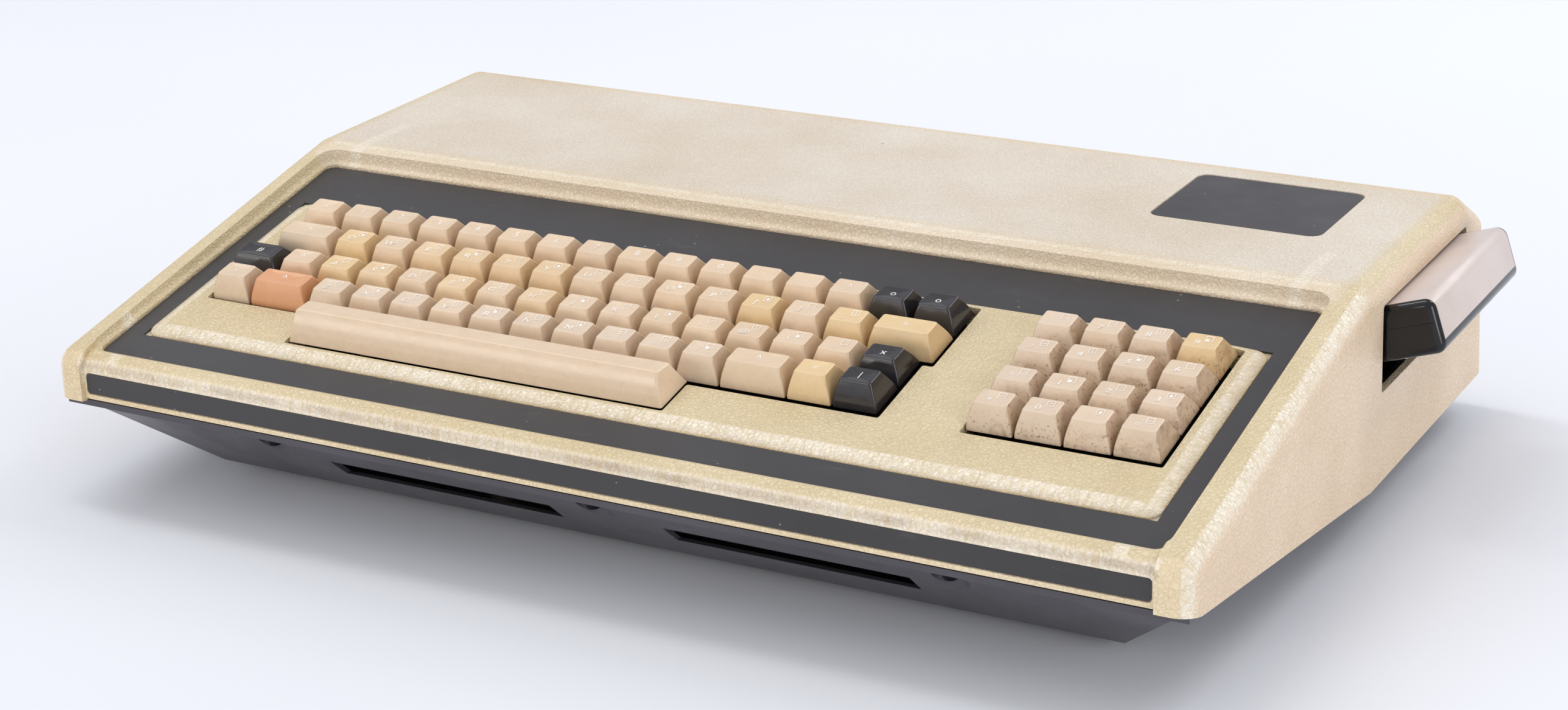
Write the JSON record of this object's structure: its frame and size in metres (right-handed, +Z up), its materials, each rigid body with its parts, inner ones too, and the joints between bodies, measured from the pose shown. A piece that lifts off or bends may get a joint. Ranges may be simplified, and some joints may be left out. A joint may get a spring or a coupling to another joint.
{
  "type": "vintage home computer",
  "caption": "Wedge-shaped home computer with a full keyboard, a number pad, a cartridge in its right side, and a dark tapered base.",
  "frame": {"origin": "on the table, under the middle of the whole computer with its cartridge pushed home; the middle of the case is 11 mm to the left of it", "axes": "+X to the typist's right, +Y away from the typist, +Z up"},
  "size_m": [0.5107, 0.332, 0.102],
  "materials": {
    "case_plastic": "leather-grained cream plastic, lightly yellowed",
    "dark_panel": "dark grey sheet with a fine grain",
    "base_plastic": "dark grey moulded plastic, fine grain",
    "foot_rubber": "matt black",
    "screw_steel": "zinc plated",
    "plate_steel": "bare sheet steel",
    "circuit_board": "green solder resist",
    "switch_plastic": "moulded black",
    "wire_steel": "drawn wire",
    "key_cream": "moulded cream, worn slightly smooth on top",
    "key_yellow": "moulded cream turned yellow",
    "key_orange": "moulded cream turned brown with age",
    "key_dark": "moulded dark grey",
    "cartridge_plastic": "polished black",
    "label_paper": "bare label film",
    "socket_plastic": "moulded dark blue",
    "nylon": "natural nylon",
    "chip_plastic": "moulded epoxy",
    "tan_parts": "dipped tan",
    "core_iron": "varnished laminations",
    "coil_tape": "wrapped yellow tape",
    "capacitor_sleeve": "shrunk blue sleeve",
    "black_aluminium": "black anodised",
    "regulator_steel": "plated steel can",
    "rear_steel": "black wrinkle paint",
    "socket_steel": "tin plated",
    "socket_brass": "nickel over brass, worn",
    "black_plastic": "moulded black",
    "rocker_plastic": "moulded dark red"
  },
  "bodies": {
    "case": {"top_shell": "case_plastic", "keyboard_panel": "dark_panel", "front_strip": "dark_panel", "badge_plate": "dark_panel", "base_pan": "base_plastic", "rubber_feet": "foot_rubber", "case_screws": "screw_steel", "keyboard_plate": "plate_steel", "keyboard_board": "circuit_board", "key_switches": "switch_plastic", "cartridge_socket": "socket_plastic", "cartridge_guide": "plate_steel", "main_board": "circuit_board", "board_posts": "nylon", "board_chips": "chip_plastic", "board_parts": "tan_parts", "transformer_core": "core_iron", "transformer_coil": "coil_tape", "filter_capacitors": "capacitor_sleeve", "heat_sink": "black_aluminium", "regulators": "regulator_steel", "rear_panel": "rear_steel", "data_sockets": "socket_steel", "phono_sockets": "socket_brass", "fuse_holder": "black_plastic", "switch_frame": "black_plastic", "cord_gland": "black_plastic"},
    "number_keys_left": {"number_keys_left": "key_cream"},
    "number_keys_middle": {"number_keys_middle": "key_cream"},
    "number_keys_right": {"number_keys_right": "key_cream"},
    "reset_keys": {"reset_keys": "key_dark"},
    "tab_key": {"tab_key": "key_cream"},
    "upper_keys_left": {"upper_keys_left": "key_cream"},
    "upper_keys_middle": {"upper_keys_middle": "key_cream"},
    "upper_keys_right": {"upper_keys_right": "key_cream"},
    "return_key": {"return_key": "key_yellow"},
    "graphic_key": {"graphic_key": "key_dark"},
    "control_key": {"control_key": "key_cream"},
    "middle_keys_left": {"middle_keys_left": "key_cream"},
    "middle_keys_middle": {"middle_keys_middle": "key_cream"},
    "middle_keys_right": {"middle_keys_right": "key_cream"},
    "clear_key": {"clear_key": "key_dark"},
    "lock_key": {"lock_key": "key_cream"},
    "left_shift_key": {"left_shift_key": "key_orange"},
    "lower_keys_left": {"lower_keys_left": "key_cream"},
    "lower_keys_right": {"lower_keys_right": "key_cream"},
    "right_shift_key": {"right_shift_key": "key_cream"},
    "repeat_key": {"repeat_key": "key_yellow"},
    "stop_key": {"stop_key": "key_dark"},
    "pad_keys_row_1": {"pad_keys_row_1": "key_cream"},
    "pad_keys_row_2": {"pad_keys_row_2": "key_cream"},
    "pad_keys_row_3": {"pad_keys_row_3": "key_cream"},
    "pad_keys_row_4": {"pad_keys_row_4": "key_cream"},
    "space_bar": {"space_bar": "key_cream"},
    "bar_wire": {"bar_wire": "wire_steel"},
    "cartridge": {"cartridge_shell": "cartridge_plastic", "cartridge_label": "label_paper", "cartridge_board": "circuit_board"},
    "power_rocker": {"power_rocker": "rocker_plastic"}
  },
  "joints": [
    {"name": "number_keys_left_press", "type": "slide", "parent": "case", "child": "number_keys_left", "axis": [0, 0.2011, -0.9796], "range_m": [0, 0.0038], "stiffness_N_per_m": 600, "springref_m": -0.002},
    {"name": "number_keys_middle_press", "type": "slide", "parent": "case", "child": "number_keys_middle", "axis": [0, 0.2011, -0.9796], "range_m": [0, 0.0038], "stiffness_N_per_m": 600, "springref_m": -0.002},
    {"name": "number_keys_right_press", "type": "slide", "parent": "case", "child": "number_keys_right", "axis": [0, 0.2011, -0.9796], "range_m": [0, 0.0038], "stiffness_N_per_m": 480, "springref_m": -0.002},
    {"name": "reset_keys_press", "type": "slide", "parent": "case", "child": "reset_keys", "axis": [0, 0.2011, -0.9796], "range_m": [0, 0.0038], "stiffness_N_per_m": 240, "springref_m": -0.002},
    {"name": "tab_key_press", "type": "slide", "parent": "case", "child": "tab_key", "axis": [0, 0.2011, -0.9796], "range_m": [0, 0.0038], "stiffness_N_per_m": 120, "springref_m": -0.002},
    {"name": "upper_keys_left_press", "type": "slide", "parent": "case", "child": "upper_keys_left", "axis": [0, 0.2011, -0.9796], "range_m": [0, 0.0038], "stiffness_N_per_m": 480, "springref_m": -0.002},
    {"name": "upper_keys_middle_press", "type": "slide", "parent": "case", "child": "upper_keys_middle", "axis": [0, 0.2011, -0.9796], "range_m": [0, 0.0038], "stiffness_N_per_m": 600, "springref_m": -0.002},
    {"name": "upper_keys_right_press", "type": "slide", "parent": "case", "child": "upper_keys_right", "axis": [0, 0.2011, -0.9796], "range_m": [0, 0.0038], "stiffness_N_per_m": 480, "springref_m": -0.002},
    {"name": "return_key_press", "type": "slide", "parent": "case", "child": "return_key", "axis": [0, 0.2011, -0.9796], "range_m": [0, 0.0038], "stiffness_N_per_m": 120, "springref_m": -0.002},
    {"name": "graphic_key_press", "type": "slide", "parent": "case", "child": "graphic_key", "axis": [0, 0.2011, -0.9796], "range_m": [0, 0.0038], "stiffness_N_per_m": 120, "springref_m": -0.002},
    {"name": "control_key_press", "type": "slide", "parent": "case", "child": "control_key", "axis": [0, 0.2011, -0.9796], "range_m": [0, 0.0038], "stiffness_N_per_m": 120, "springref_m": -0.002},
    {"name": "middle_keys_left_press", "type": "slide", "parent": "case", "child": "middle_keys_left", "axis": [0, 0.2011, -0.9796], "range_m": [0, 0.0038], "stiffness_N_per_m": 480, "springref_m": -0.002},
    {"name": "middle_keys_middle_press", "type": "slide", "parent": "case", "child": "middle_keys_middle", "axis": [0, 0.2011, -0.9796], "range_m": [0, 0.0038], "stiffness_N_per_m": 600, "springref_m": -0.002},
    {"name": "middle_keys_right_press", "type": "slide", "parent": "case", "child": "middle_keys_right", "axis": [0, 0.2011, -0.9796], "range_m": [0, 0.0038], "stiffness_N_per_m": 480, "springref_m": -0.002},
    {"name": "clear_key_press", "type": "slide", "parent": "case", "child": "clear_key", "axis": [0, 0.2011, -0.9796], "range_m": [0, 0.0038], "stiffness_N_per_m": 120, "springref_m": -0.002},
    {"name": "lock_key_press", "type": "slide", "parent": "case", "child": "lock_key", "axis": [0, 0.2011, -0.9796], "range_m": [0, 0.0038], "stiffness_N_per_m": 120, "springref_m": -0.002},
    {"name": "left_shift_key_press", "type": "slide", "parent": "case", "child": "left_shift_key", "axis": [0, 0.2011, -0.9796], "range_m": [0, 0.0038], "stiffness_N_per_m": 120, "springref_m": -0.002},
    {"name": "lower_keys_left_press", "type": "slide", "parent": "case", "child": "lower_keys_left", "axis": [0, 0.2011, -0.9796], "range_m": [0, 0.0038], "stiffness_N_per_m": 600, "springref_m": -0.002},
    {"name": "lower_keys_right_press", "type": "slide", "parent": "case", "child": "lower_keys_right", "axis": [0, 0.2011, -0.9796], "range_m": [0, 0.0038], "stiffness_N_per_m": 600, "springref_m": -0.002},
    {"name": "right_shift_key_press", "type": "slide", "parent": "case", "child": "right_shift_key", "axis": [0, 0.2011, -0.9796], "range_m": [0, 0.0038], "stiffness_N_per_m": 120, "springref_m": -0.002},
    {"name": "repeat_key_press", "type": "slide", "parent": "case", "child": "repeat_key", "axis": [0, 0.2011, -0.9796], "range_m": [0, 0.0038], "stiffness_N_per_m": 120, "springref_m": -0.002},
    {"name": "stop_key_press", "type": "slide", "parent": "case", "child": "stop_key", "axis": [0, 0.2011, -0.9796], "range_m": [0, 0.0038], "stiffness_N_per_m": 120, "springref_m": -0.002},
    {"name": "pad_keys_row_1_press", "type": "slide", "parent": "case", "child": "pad_keys_row_1", "axis": [0, 0.2011, -0.9796], "range_m": [0, 0.0038], "stiffness_N_per_m": 480, "springref_m": -0.002},
    {"name": "pad_keys_row_2_press", "type": "slide", "parent": "case", "child": "pad_keys_row_2", "axis": [0, 0.2011, -0.9796], "range_m": [0, 0.0038], "stiffness_N_per_m": 480, "springref_m": -0.002},
    {"name": "pad_keys_row_3_press", "type": "slide", "parent": "case", "child": "pad_keys_row_3", "axis": [0, 0.2011, -0.9796], "range_m": [0, 0.0038], "stiffness_N_per_m": 480, "springref_m": -0.002},
    {"name": "pad_keys_row_4_press", "type": "slide", "parent": "case", "child": "pad_keys_row_4", "axis": [0, 0.2011, -0.9796], "range_m": [0, 0.0038], "stiffness_N_per_m": 480, "springref_m": -0.002},
    {"name": "space_bar_press", "type": "slide", "parent": "case", "child": "space_bar", "axis": [0, 0.2011, -0.9796], "range_m": [0, 0.0038], "stiffness_N_per_m": 220, "springref_m": -0.002},
    {"name": "bar_wire_turn", "type": "hinge", "parent": "case", "child": "bar_wire", "pos_m": [-0.0788, -0.10463, 0.066], "axis": [1, 0, 0], "range_deg": [0, 18.3]},
    {"name": "cartridge_pull", "type": "slide", "parent": "case", "child": "cartridge", "axis": [0.9511, 0, 0.309], "range_m": [0, 0.12]},
    {"name": "power_rocker_turn", "type": "hinge", "parent": "case", "child": "power_rocker", "pos_m": [-0.135, 0.154, 0.043], "axis": [1, 0, 0], "range_deg": [-20, 0]}
  ],
  "couplings": [
    {"joint": "bar_wire_turn", "follows": "space_bar_press", "rad_per_m": 83.59}
  ]
}
